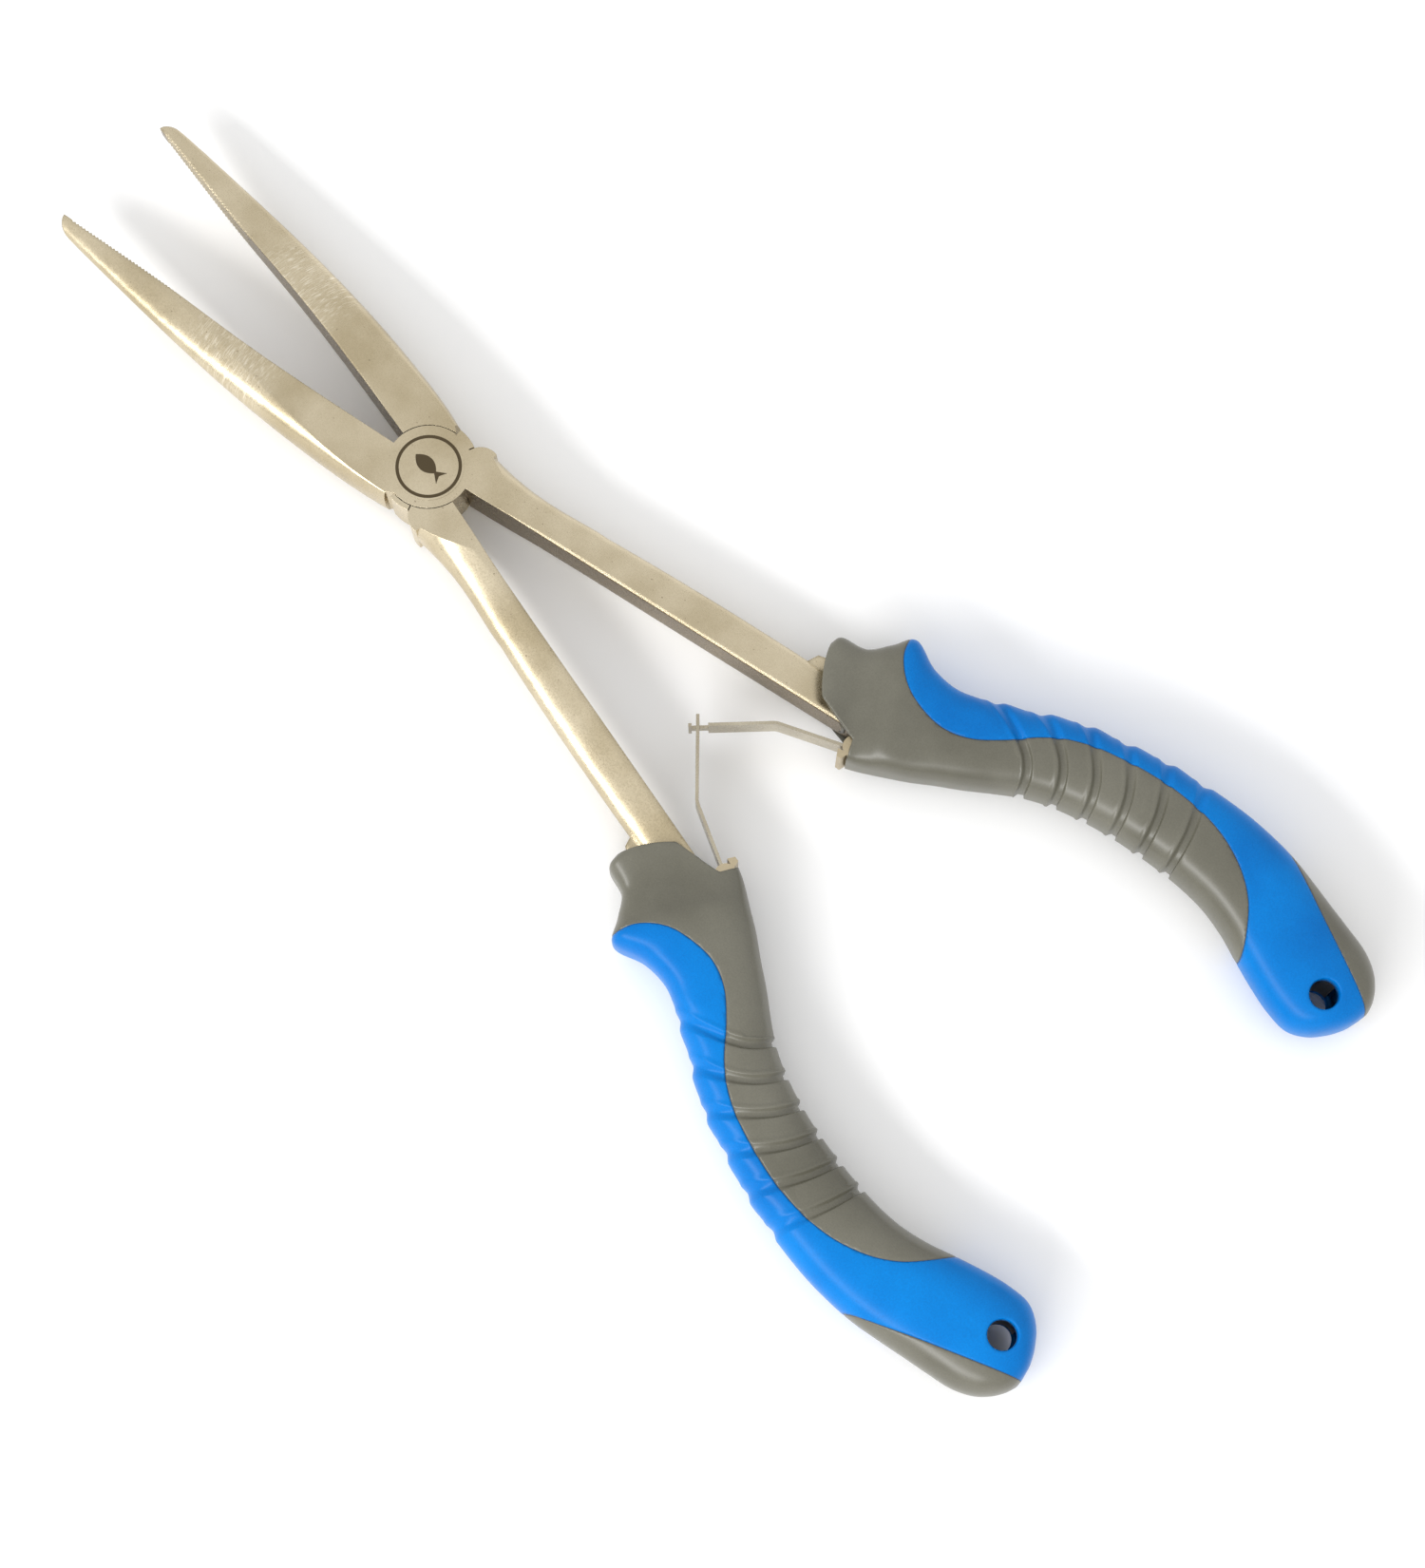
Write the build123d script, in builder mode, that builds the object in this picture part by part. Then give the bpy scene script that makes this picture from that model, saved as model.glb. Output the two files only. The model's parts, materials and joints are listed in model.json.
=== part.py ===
"""Long-reach needle-nose fishing pliers, lying flat and sprung open.

Two identical forged levers cross in a half-lap joint on a flush rivet. Each lever's tang
runs through a moulded grip with a lanyard hole. Two leaf springs hook together between the
grips and push them apart. All lengths are in millimetres.

Row frame: +X towards the jaw tips, +Z up along the pivot, origin on the resting plane under
the middle of the open pliers. Each lever is drawn in its own lever frame: the pivot at the
origin, the gripping face along +X with the jaw on its +Y side, and the grip on the -Y side.
"""

import os
from math import asin, cos, hypot, radians, sin

from build123d import *

# ---- driving dimensions ----
OPEN_HALF_ANGLE = 8.1  # each lever, from the closed position to rest
PIVOT_X = 51.5  # the pivot stands this far ahead of the origin
GRIP_HALF_THICK = 7.5  # thickest point of the grips, so the height of the middle plane

# lap joint and rivet
JOINT_HALF = 4.75
LAP_GAP = 0.05  # between the middle plane and each lap
DISC_RADIUS = 8.0
DISC_CLEARANCE = 0.15
LOBE_RADIUS = 9.1  # where the plate stands out past the disc, beside the shank
RIVET_RADIUS = 3.0
RIVET_HEAD_RADIUS = 5.0
RIVET_HEAD_DEPTH = 1.1
RUNNING_CLEARANCE = 0.05
ENGRAVING_DEPTH = 0.12
RING_RADIUS = 6.1
RING_WIDTH = 0.62
MARK_LENGTH = 6.8  # a plain fish outline engraved in the rivet's head
MARK_HALF_HEIGHT = 1.45

# jaw teeth
JAW_FACE_GAP = 0.05  # each gripping face stops this short of the closing plane
TIP_X = 87.0
TEETH_START_X = 57.0
TEETH_END_X = 85.4
TOOTH_PITCH = 0.8
TOOTH_DEPTH = 0.35

# tang inside the grip
TANG_WIDTH = 6.4
TANG_HALF_THICK = 2.4

# grip
CORE_SHARE = 0.68  # core section as a share of the grip's section
CORNER_FULLNESS = 0.68  # 0.55 would be an ellipse, 1 a rectangle
GROOVE_COUNT = 6  # finger grooves across the waist
GROOVE_FLOOR_SHARE = 0.94  # section left under a groove, as a share of the grip's
LANYARD_HOLE = (-186.0, -15.0)
LANYARD_RADIUS = 2.6

# leaf springs
LEAF_THICK = 0.6
LEAF_HALF_WIDTH = 2.5
LEAF_ROOT = (-93.5, -3.25)  # hinge at the grip's mouth, lever frame
LEAF_BEND = (-79.5, 1.0)
LEAF_BEND_RADIUS = 3.0
MEET_X = -69.0  # where the two leaves cross on the tool's axis, from the pivot
EYE_RADIUS = 1.5
PIN_RADIUS = 0.8
NECK = (-1.9, 1.1)  # the T's neck, from and to, along the leaf from where the leaves cross
NECK_HALF_WIDTH = 0.8
SLOT = (-2.8, 1.4)
SLOT_HALF_WIDTH = 1.15
END_BAR = 0.6  # the T's head, and the strip that closes the slot
ANCHOR_RADIUS = 2.0
ANCHOR_HALF_WIDTH = 4.2
ANCHOR_TAIL_LENGTH = 8.0
ANCHOR_TAIL_ANGLE = 206.0
ANCHOR_TAIL_WIDTH = 3.4
# the anchor's front tab caps the grip's inner lip, in plan
ANCHOR_TAB = [(-91.4, -1.3), (-92.0, 0.0), (-92.9, 0.0), (-93.6, -1.6)]

# ---- frames of the two levers at rest ----
CENTRE = (PIVOT_X, 0, GRIP_HALF_THICK)
TURN = radians(OPEN_HALF_ANGLE)
RIGHT = Plane(origin=CENTRE, x_dir=(cos(TURN), sin(TURN), 0), z_dir=(0, 0, 1))
LEFT = Plane(origin=CENTRE, x_dir=(cos(TURN), -sin(TURN), 0), z_dir=(0, 0, -1))
MEET = (MEET_X * cos(TURN), -MEET_X * sin(TURN))  # in either lever frame


def save(part, name, frame):
    """Writes a piece drawn in a lever frame as one node in the row frame."""
    placed = part.moved(frame.location)
    placed.label = name
    export_step(placed, f"parts/{name}.step")


# ---- lever ----
EDGE_SLOPE = 0.3  # how steeply the round side falls away from the edge of the flat
JAW_ROOT_X = 3.4
SHANK_ROOT_X = -8.6
# x, flat inner side y, round outer side y, half thickness, width of the flat on top;
# the inner side is relieved behind the gripping face
JAW_SECTIONS = [
    (JAW_ROOT_X, JAW_FACE_GAP, 9.4, JOINT_HALF, 8.5),
    (10.0, 0.2, 10.05, 4.74, 8.5),
    (20.0, 0.55, 10.2, 4.64, 7.4),
    (30.0, 0.8, 9.9, 4.44, 5.6),
    (41.0, 0.85, 9.1, 4.1, 3.4),
    (51.0, 0.6, 8.0, 3.65, 1.8),
    (64.0, 0.15, 6.2, 2.9, 1.1),
    (76.0, JAW_FACE_GAP, 4.4, 2.2, 0.9),
    (TIP_X, JAW_FACE_GAP, 2.4, 1.45, 0.8),
]
# as forged, swelling towards the joint: the joint's flats cut off what stands above them,
# and run out in a curve
SHOULDER_SECTIONS = [
    (SHANK_ROOT_X, -0.6, -9.2, 6.9, 5.4),
    (-13.0, -0.9, -8.7, 5.6, 3.1),
    (-18.0, -1.3, -8.4, 4.7, 1.7),
    (-25.0, -1.8, -8.7, 4.2, 1.0),
    (-34.0, -2.35, -9.4, 4.02, 0.85),
]
SHANK_SECTIONS = [
    (-34.0, -2.35, -9.4, 4.02, 0.85),
    (-60.0, -3.8, -11.4, 4.0, 0.8),
    (-91.0, -5.6, -12.6, 3.8, 0.8),
]
# a small stop that stands out beside the grip's front edge
EAR = [(-76.8, -11.5), (-78.0, -14.0), (-80.0, -14.6), (-83.0, -12.0)]
EAR_HALF_THICK = 1.1


def d_section(x, inner, outer, half, flat):
    """A section across the lever at x: flat on its inner side, round on its outer one."""
    side = 1 if outer > inner else -1
    width = abs(outer - inner)
    round_width = width - flat
    dip = (flat + round_width / 2, half - EDGE_SLOPE * round_width / 2)
    where = Plane(origin=(x, inner, 0), x_dir=(0, side, 0), z_dir=(side, 0, 0))
    with BuildSketch(where) as section:
        with BuildLine():
            Line((0, -half), (0, half))
            Line((0, half), (flat, half))
            Bezier((flat, half), dip, (width, 0.6 * half), (width, 0))
            Bezier((width, 0), (width, -0.6 * half), (dip[0], -dip[1]), (flat, -half))
            Line((flat, -half), (0, -half))
        make_face()
    return section.sketch


with BuildPart() as jaw:
    for station in JAW_SECTIONS:
        add(d_section(*station))
    loft()

with BuildPart() as shoulder:
    for station in SHOULDER_SECTIONS:
        add(d_section(*station))
    loft()
    # the joint's flats, ground on the forging
    with BuildSketch(Plane.XY.offset(-JOINT_HALF)):
        with Locations((-25.0, 0)):
            Rectangle(50.0, 50.0)
    extrude(amount=2 * JOINT_HALF, mode=Mode.INTERSECT)

with BuildPart() as shank:
    for station in SHANK_SECTIONS:
        add(d_section(*station))
    loft()

with BuildPart() as root_plate:
    # the flat plate round the pivot: disc, jaw root and shank shoulder
    with BuildSketch(Plane.XY.offset(-JOINT_HALF)):
        Circle(DISC_RADIUS)
        with BuildLine():
            Polyline(
                (0, JAW_FACE_GAP), (JAW_ROOT_X, JAW_FACE_GAP), (JAW_ROOT_X, 8.5), (1.6, 7.6),
                (0, JAW_FACE_GAP), close=True,
            )
        make_face()
        with BuildLine():
            Polyline((0, 0), (SHANK_ROOT_X, -0.6), (SHANK_ROOT_X, -9.2))
            ThreePointArc((SHANK_ROOT_X, -9.2), (-6.2, -9.1), (-4.7, -8.0))
            Line((-4.7, -8.0), (0, 0))
        make_face()
        with BuildLine():
            Line((0, 0), (-4.4, -LOBE_RADIUS * cos(asin(4.4 / LOBE_RADIUS))))
            ThreePointArc(
                (-4.4, -LOBE_RADIUS * cos(asin(4.4 / LOBE_RADIUS))),
                (-2.4, -LOBE_RADIUS * cos(asin(2.4 / LOBE_RADIUS))), (-0.4, -LOBE_RADIUS),
            )
            Line((-0.4, -LOBE_RADIUS), (0, 0))
        make_face()
    extrude(amount=2 * JOINT_HALF)

with BuildPart() as tang:
    with BuildSketch(Plane.XY.offset(-TANG_HALF_THICK)):
        with BuildLine() as tang_line:
            Spline(
                (-86.0, -8.9), (-97.0, -11.6), (-115.0, -19.0), (-135.0, -25.2),
                (-152.0, -26.2), (-174.0, -21.5),
                tangents=[(-1, -0.1), (-1, 0.3)],
            )
        trace(line_width=TANG_WIDTH)
    extrude(amount=2 * TANG_HALF_THICK)

with BuildPart() as ear:
    with BuildSketch(Plane.XY.offset(-EAR_HALF_THICK)):
        with BuildLine():
            Polyline(*EAR, close=True)
        make_face()
    extrude(amount=2 * EAR_HALF_THICK)

with BuildPart() as lever:
    add(jaw.part)
    add(shoulder.part)
    add(shank.part)
    add(root_plate.part)
    add(tang.part)
    add(ear.part)
    # the other lever's disc turns in this half of the joint
    with BuildSketch(Plane.XY.offset(LAP_GAP)):
        Circle(DISC_RADIUS + DISC_CLEARANCE)
    extrude(amount=-2 * JOINT_HALF, mode=Mode.SUBTRACT)
    # cross-cut teeth along the front of the gripping face
    with BuildSketch(Plane.XY.offset(-JOINT_HALF)):
        tooth_count = int((TEETH_END_X - TEETH_START_X) / TOOTH_PITCH)
        for tooth in range(tooth_count):
            x = TEETH_START_X + tooth * TOOTH_PITCH
            with BuildLine():
                Polyline(
                    (x, -1), (x, JAW_FACE_GAP),
                    (x + TOOTH_PITCH / 2, JAW_FACE_GAP + TOOTH_DEPTH),
                    (x + TOOTH_PITCH, JAW_FACE_GAP), (x + TOOTH_PITCH, -1), close=True,
                )
            make_face()
    extrude(amount=2 * JOINT_HALF, mode=Mode.SUBTRACT)
    # nose rounded in plan
    with BuildSketch(Plane.XY.offset(-JOINT_HALF)):
        with BuildLine():
            ThreePointArc((TIP_X - 3.0, 3.0), (TIP_X - 0.8, 1.9), (TIP_X, 0))
            Polyline((TIP_X, 0), (TIP_X + 1, 0), (TIP_X + 1, 4), (TIP_X - 3.0, 4), (TIP_X - 3.0, 3.0))
        make_face()
    extrude(amount=2 * JOINT_HALF, mode=Mode.SUBTRACT)


def joint_hole(radius, head_radius):
    """The rivet's hole through one lap, with the countersink of its head."""
    with BuildPart() as hole:
        Cylinder(radius, 2 * JOINT_HALF + 2)
        with BuildSketch(Plane.XY.offset(JOINT_HALF - RIVET_HEAD_DEPTH)):
            Circle(radius)
        with BuildSketch(Plane.XY.offset(JOINT_HALF)):
            Circle(head_radius)
        loft()
    return hole.part


# the right lever runs on the rivet, the left one grips it
with BuildPart() as right_lever:
    add(lever.part)
    # an engraved ring round the rivet
    with BuildSketch(Plane.XY.offset(JOINT_HALF)):
        Circle(RING_RADIUS)
        Circle(RING_RADIUS - RING_WIDTH, mode=Mode.SUBTRACT)
    extrude(amount=-ENGRAVING_DEPTH, mode=Mode.SUBTRACT)
    add(
        joint_hole(RIVET_RADIUS + RUNNING_CLEARANCE, RIVET_HEAD_RADIUS + RUNNING_CLEARANCE),
        mode=Mode.SUBTRACT,
    )

with BuildPart() as left_lever:
    add(lever.part)
    add(joint_hole(RIVET_RADIUS, RIVET_HEAD_RADIUS), mode=Mode.SUBTRACT)

with BuildPart() as pivot_rivet:
    Cylinder(RIVET_RADIUS, 2 * JOINT_HALF)
    for end in (1, -1):
        with BuildSketch(Plane.XY.offset(end * (JOINT_HALF - RIVET_HEAD_DEPTH))):
            Circle(RIVET_RADIUS)
        with BuildSketch(Plane.XY.offset(end * JOINT_HALF)):
            Circle(RIVET_HEAD_RADIUS)
        loft()
    # the fish: two arcs for its body, and a forked tail
    with BuildSketch(Plane.XY.offset(JOINT_HALF)):
        nose, tail = MARK_LENGTH / 2, -MARK_LENGTH / 4
        with BuildLine():
            ThreePointArc((nose, 0), (MARK_LENGTH / 8, MARK_HALF_HEIGHT), (tail, 0.25))
            Polyline(
                (tail, 0.25), (-nose, MARK_HALF_HEIGHT), (0.8 * -nose, 0),
                (-nose, -MARK_HALF_HEIGHT), (tail, -0.25),
            )
            ThreePointArc((tail, -0.25), (MARK_LENGTH / 8, -MARK_HALF_HEIGHT), (nose, 0))
        make_face()
    extrude(amount=-ENGRAVING_DEPTH, mode=Mode.SUBTRACT)

# ---- leaf springs and their anchors ----
leaf_run = (MEET[0] - LEAF_BEND[0], MEET[1] - LEAF_BEND[1])
leaf_length = hypot(*leaf_run)
leaf_dir = (leaf_run[0] / leaf_length, leaf_run[1] / leaf_length)
MEET_PLANE = Plane(
    origin=(*MEET, 0), x_dir=(*leaf_dir, 0), z_dir=(leaf_dir[1], -leaf_dir[0], 0)
)


def leaf(beyond_meeting):
    """A bent strip from its rolled eye to a little past where the leaves cross."""
    end = (MEET[0] + beyond_meeting * leaf_dir[0], MEET[1] + beyond_meeting * leaf_dir[1])
    with BuildPart() as strip:
        with BuildSketch(Plane.XY.offset(-LEAF_HALF_WIDTH)):
            with BuildLine():
                FilletPolyline(LEAF_ROOT, LEAF_BEND, end, radius=LEAF_BEND_RADIUS)
            trace(line_width=LEAF_THICK)
            with Locations(LEAF_ROOT):
                Circle(EYE_RADIUS)
                Circle(PIN_RADIUS + RUNNING_CLEARANCE, mode=Mode.SUBTRACT)
        extrude(amount=2 * LEAF_HALF_WIDTH)
    return strip.part


with BuildPart() as tee_leaf:
    add(leaf(NECK[1] + END_BAR))
    notch_depth = LEAF_HALF_WIDTH - NECK_HALF_WIDTH
    with BuildSketch(MEET_PLANE):
        for side in (1, -1):
            with Locations((sum(NECK) / 2, side * (NECK_HALF_WIDTH + notch_depth))):
                Rectangle(NECK[1] - NECK[0], 2 * notch_depth)
    extrude(amount=LEAF_THICK, both=True, mode=Mode.SUBTRACT)

with BuildPart() as slotted_leaf:
    add(leaf(SLOT[1] + END_BAR))
    with BuildSketch(MEET_PLANE):
        with Locations((sum(SLOT) / 2, 0)):
            SlotOverall(SLOT[1] - SLOT[0], 2 * SLOT_HALF_WIDTH)
    extrude(amount=LEAF_THICK, both=True, mode=Mode.SUBTRACT)

tail_end = (
    LEAF_ROOT[0] + ANCHOR_TAIL_LENGTH * cos(radians(ANCHOR_TAIL_ANGLE)),
    LEAF_ROOT[1] + ANCHOR_TAIL_LENGTH * sin(radians(ANCHOR_TAIL_ANGLE)),
)
with BuildPart() as anchor_blank:
    with BuildSketch(Plane.XY.offset(-ANCHOR_HALF_WIDTH)):
        with BuildLine():
            Line(LEAF_ROOT, tail_end)
        trace(line_width=ANCHOR_TAIL_WIDTH)
        with Locations(LEAF_ROOT):
            Circle(ANCHOR_RADIUS)
        with BuildLine():
            Polyline(*ANCHOR_TAB, close=True)
        make_face()
    extrude(amount=2 * ANCHOR_HALF_WIDTH)

with BuildPart() as spring_anchor:
    add(anchor_blank.part)
    slot_half = LEAF_HALF_WIDTH + 0.15
    with Locations(Plane(origin=(*LEAF_ROOT, 0))):
        Cylinder(ANCHOR_RADIUS + 0.4, 2 * slot_half, mode=Mode.SUBTRACT)
        Cylinder(PIN_RADIUS, 2 * ANCHOR_HALF_WIDTH + 1, mode=Mode.SUBTRACT)

with BuildPart() as spring_pin:
    with Locations(Plane(origin=(*LEAF_ROOT, 0))):
        Cylinder(PIN_RADIUS, 2 * ANCHOR_HALF_WIDTH)

# ---- grip ----
# x, outer side y, inner side y, half thickness
GRIP_SECTIONS = [
    (-77.0, -17.6, -1.5, 6.2),
    (-84.0, -20.0, -1.0, 6.5),
    (-90.5, -26.2, -0.2, 6.9),
    (-100.0, -23.3, -3.3, 7.1),
    (-112.0, -27.0, -9.2, 7.0),
    (-125.0, -31.7, -15.1, 7.0),
    (-140.0, -35.0, -17.9, 7.1),
    (-155.0, -35.6, -17.5, 7.3),
    (-168.0, -34.0, -13.6, 7.4),
    (-180.0, -30.7, -7.8, 7.5),
    (-187.0, -28.1, -7.8, 7.4),
    (-191.5, -24.6, -10.7, 6.6),
    (-194.0, -20.0, -15.2, 4.0),
]
CORE_START_X = -96.0
CORE_END_X = -191.0
SHELL_START_X = -70.0
SHELL_END_X = -200.0
# room for the leaf spring between the grip's lips, in plan
MOUTH = [(-96.0, -5.0), (-96.0, -1.0), (-90.0, 2.5), (-84.0, -3.0), (-87.0, -6.5)]
MOUTH_HALF_WIDTH = 4.5
# colour joints in plan, from the outer side to the inner one
BAND_JOINT = [
    (-88.0, -30.0), (-89.4, -24.0), (-96.0, -16.9), (-105.0, -14.8), (-115.0, -19.3),
    (-127.0, -26.9), (-142.0, -29.9), (-156.0, -27.6), (-166.0, -20.6), (-172.0, -8.0),
]
HEEL_JOINT = [(-164.0, -38.0), (-172.0, -30.5), (-180.0, -24.6), (-196.0, -16.5)]
# front edge in plan, from the outer corner to the mouth
FRONT_EDGE = [(-77.0, -22.0), (-79.4, -13.5), (-84.5, -7.0), (-90.5, -4.0), (-93.4, -1.0), (-93.6, 3.0)]


def grip_loft(share, start_x, end_x):
    """The grip's closed form, or at a smaller share the core inside it."""
    with BuildPart() as form:
        for x, outer, inner, half in GRIP_SECTIONS:
            if not end_x <= x <= start_x:
                continue
            wide, tall = share * (inner - outer) / 2, share * half
            full_wide, full_tall = CORNER_FULLNESS * wide, CORNER_FULLNESS * tall
            where = Plane(origin=(x, (inner + outer) / 2, 0), x_dir=(0, 1, 0), z_dir=(1, 0, 0))
            with BuildSketch(where):
                with BuildLine():
                    for a, b in ((1, 1), (-1, 1), (-1, -1), (1, -1)):
                        corner = [
                            (a * wide, 0), (a * wide, b * full_tall),
                            (a * full_wide, b * tall), (0, b * tall),
                        ]
                        Bezier(*(corner if a * b > 0 else corner[::-1]))
                make_face()
        loft()
    return form.part


def plan_block(joint, corners):
    """A tall block whose plan is bounded by a smooth joint line and then straight corners."""
    with BuildPart() as block:
        with BuildSketch(Plane.XY.offset(-2 * GRIP_HALF_THICK)):
            with BuildLine():
                Spline(*joint)
                Polyline(joint[-1], *corners, joint[0])
            make_face()
        extrude(amount=4 * GRIP_HALF_THICK)
    return block.part


def groove_edge(number, ahead):
    """One long side of a groove in plan: it leans forward as it nears the grip's outer side."""
    root_x = -123.2 - 5.85 * number + ahead
    lean = 12.7 - 2.0 * number
    return [
        (root_x + lean * share**1.6, -10.0 * (1 - share) - (29.0 + 1.5 * number) * share)
        for share in (0, 0.3, 0.65, 1.1)
    ]


front_block = plan_block(FRONT_EDGE, [(-60.0, 3.0), (-60.0, -22.0)])
band_block = plan_block(BAND_JOINT, [(-172.0, 0.0), (-205.0, 0.0), (-205.0, -45.0), (-88.0, -45.0)])
heel_block = plan_block(HEEL_JOINT, [(-205.0, -16.5), (-205.0, -45.0), (-164.0, -45.0)])

with BuildPart() as lanyard_drill:
    with Locations(Plane(origin=(*LANYARD_HOLE, 0))):
        Cylinder(LANYARD_RADIUS, 4 * GRIP_HALF_THICK)

with BuildPart() as mouth_pocket:
    with BuildSketch(Plane.XY.offset(-MOUTH_HALF_WIDTH)):
        with BuildLine():
            Polyline(*MOUTH, close=True)
        make_face()
    extrude(amount=2 * MOUTH_HALF_WIDTH)

with BuildPart() as grooves:
    with BuildSketch(Plane.XY.offset(-2 * GRIP_HALF_THICK)):
        for number in range(GROOVE_COUNT):
            rear, front = groove_edge(number, 0), groove_edge(number, 1.8)
            with BuildLine():
                Spline(*rear)
                Line(rear[-1], front[-1])
                Spline(*front[::-1])
                Line(front[0], rear[0])
            make_face()
    extrude(amount=4 * GRIP_HALF_THICK)
    add(grip_loft(GROOVE_FLOOR_SHARE, SHELL_START_X, SHELL_END_X), mode=Mode.SUBTRACT)

core_form = grip_loft(CORE_SHARE, CORE_START_X, CORE_END_X)
insides = [lever.part, anchor_blank.part, lanyard_drill.part, mouth_pocket.part]

with BuildPart() as grip_core:
    add(core_form)
    for inside in insides:
        add(inside, mode=Mode.SUBTRACT)

with BuildPart() as grip_shell:
    add(grip_loft(1.0, SHELL_START_X, SHELL_END_X))
    add(front_block, mode=Mode.SUBTRACT)
    add(core_form, mode=Mode.SUBTRACT)
    for inside in insides:
        add(inside, mode=Mode.SUBTRACT)

with BuildPart() as grip_heel:
    add(grip_shell.part)
    add(heel_block, mode=Mode.INTERSECT)

with BuildPart() as grip_band:
    add(grip_shell.part)
    add(band_block, mode=Mode.INTERSECT)
    add(heel_block, mode=Mode.SUBTRACT)
    add(grooves.part, mode=Mode.SUBTRACT)

with BuildPart() as grip_body:
    add(grip_shell.part)
    add(band_block, mode=Mode.SUBTRACT)
    add(grooves.part, mode=Mode.SUBTRACT)

# ---- write the nodes ----
os.makedirs("parts", exist_ok=True)
save(right_lever.part, "right_lever", RIGHT)
save(left_lever.part, "left_lever", LEFT)
save(pivot_rivet.part, "pivot_rivet", Plane(origin=CENTRE))
save(tee_leaf.part, "right_leaf_spring", RIGHT)
save(slotted_leaf.part, "left_leaf_spring", LEFT)
for side_name, lever_frame in (("right", RIGHT), ("left", LEFT)):
    save(spring_anchor.part, f"{side_name}_spring_anchor", lever_frame)
    save(spring_pin.part, f"{side_name}_spring_pin", lever_frame)
    save(grip_core.part, f"{side_name}_grip_core", lever_frame)
    save(grip_body.part, f"{side_name}_grip_body", lever_frame)
    save(grip_band.part, f"{side_name}_grip_band", lever_frame)
    save(grip_heel.part, f"{side_name}_grip_heel", lever_frame)
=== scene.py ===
"""Looks for the long-reach fishing pliers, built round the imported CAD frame.

The levers, rivet, springs, pins, anchors and grip cores are the CAD nodes, with new materials.
The moulded grips are built here as ribbed shells with seams, a mouth and a lanyard hole. A thin
cap covers each head of the rivet and hides a fault in the frame: a lever's flat face reaches over
the head in the same plane.

Row-frame lengths are in metres. The grips are drawn in millimetres in a lever's own frame: the
pivot at the origin, the jaw along +X, the grip on the -Y side.
"""

import itertools
import json
import math

import bmesh
import bpy
import numpy as np
from mathutils import Matrix, Vector


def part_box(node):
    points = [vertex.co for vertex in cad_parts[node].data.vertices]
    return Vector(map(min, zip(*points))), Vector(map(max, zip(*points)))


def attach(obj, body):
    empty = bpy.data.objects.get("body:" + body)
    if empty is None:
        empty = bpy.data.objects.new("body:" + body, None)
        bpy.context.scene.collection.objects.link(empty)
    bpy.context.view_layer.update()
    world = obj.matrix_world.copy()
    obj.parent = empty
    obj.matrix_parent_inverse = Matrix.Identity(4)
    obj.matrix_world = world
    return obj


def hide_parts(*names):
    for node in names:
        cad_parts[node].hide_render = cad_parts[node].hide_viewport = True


MM = 0.001
SIDES = ("right", "left")

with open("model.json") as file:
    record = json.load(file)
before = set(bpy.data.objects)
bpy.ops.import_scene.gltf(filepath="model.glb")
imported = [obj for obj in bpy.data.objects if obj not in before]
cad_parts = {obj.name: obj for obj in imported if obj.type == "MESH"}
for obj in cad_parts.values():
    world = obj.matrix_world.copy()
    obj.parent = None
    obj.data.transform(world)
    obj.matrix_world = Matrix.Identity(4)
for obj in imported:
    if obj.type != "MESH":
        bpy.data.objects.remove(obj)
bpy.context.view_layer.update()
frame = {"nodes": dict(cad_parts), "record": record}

# ---- the frame's own places ----
JOINTS = {joint["name"]: joint for joint in frame["record"]["behaviour"]["joints"]}
PIVOT = Vector(JOINTS["jaw_pivot"]["pos_m"])
HALF_OPEN = math.radians(JOINTS["jaw_pivot"]["range_deg"][1]) / 2
JOINT_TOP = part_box("pivot_rivet")[1][2]


def lever_matrix(side):
    """From a lever's own frame, in millimetres, to the row frame."""
    turn = Matrix.Rotation(HALF_OPEN, 4, "Z")
    over = Matrix.Diagonal((1, -1, -1, 1)) if side == "left" else Matrix.Identity(4)
    return Matrix.Translation(PIVOT) @ over @ turn @ Matrix.Scale(MM, 4)


# ---- material building blocks ----
def new_material(name):
    material = bpy.data.materials.new(name)
    material.use_nodes = True
    nodes = material.node_tree.nodes
    return material, nodes, material.node_tree.links, nodes["Principled BSDF"]


def feed(links, value, socket):
    """Links an output to a socket, or sets a plain number or vector on it."""
    if isinstance(value, bpy.types.NodeSocket):
        links.new(value, socket)
    else:
        socket.default_value = value


def noise(nodes, links, coords, scale, detail, roughness=0.5):
    node = nodes.new("ShaderNodeTexNoise")
    node.inputs["Scale"].default_value = scale
    node.inputs["Detail"].default_value = detail
    node.inputs["Roughness"].default_value = roughness
    links.new(coords, node.inputs["Vector"])
    return node.outputs["Fac"]


def ramp(nodes, links, factor, stops):
    node = nodes.new("ShaderNodeValToRGB")
    while len(node.color_ramp.elements) < len(stops):
        node.color_ramp.elements.new(0.5)
    for element, (place, colour) in zip(node.color_ramp.elements, stops):
        element.position = place
        element.color = (*colour, 1)
    links.new(factor, node.inputs["Fac"])
    return node.outputs["Color"]


def remap(nodes, links, value, low, high, to_low=0.0, to_high=1.0, smooth=False):
    node = nodes.new("ShaderNodeMapRange")
    node.interpolation_type = "SMOOTHSTEP" if smooth else "LINEAR"
    limits = {"From Min": low, "From Max": high, "To Min": to_low, "To Max": to_high}
    for name, number in limits.items():
        node.inputs[name].default_value = number
    links.new(value, node.inputs["Value"])
    return node.outputs["Result"]


def math_node(nodes, links, operation, first, second):
    node = nodes.new("ShaderNodeMath")
    node.operation = operation
    feed(links, first, node.inputs[0])
    feed(links, second, node.inputs[1])
    return node.outputs["Value"]


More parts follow.
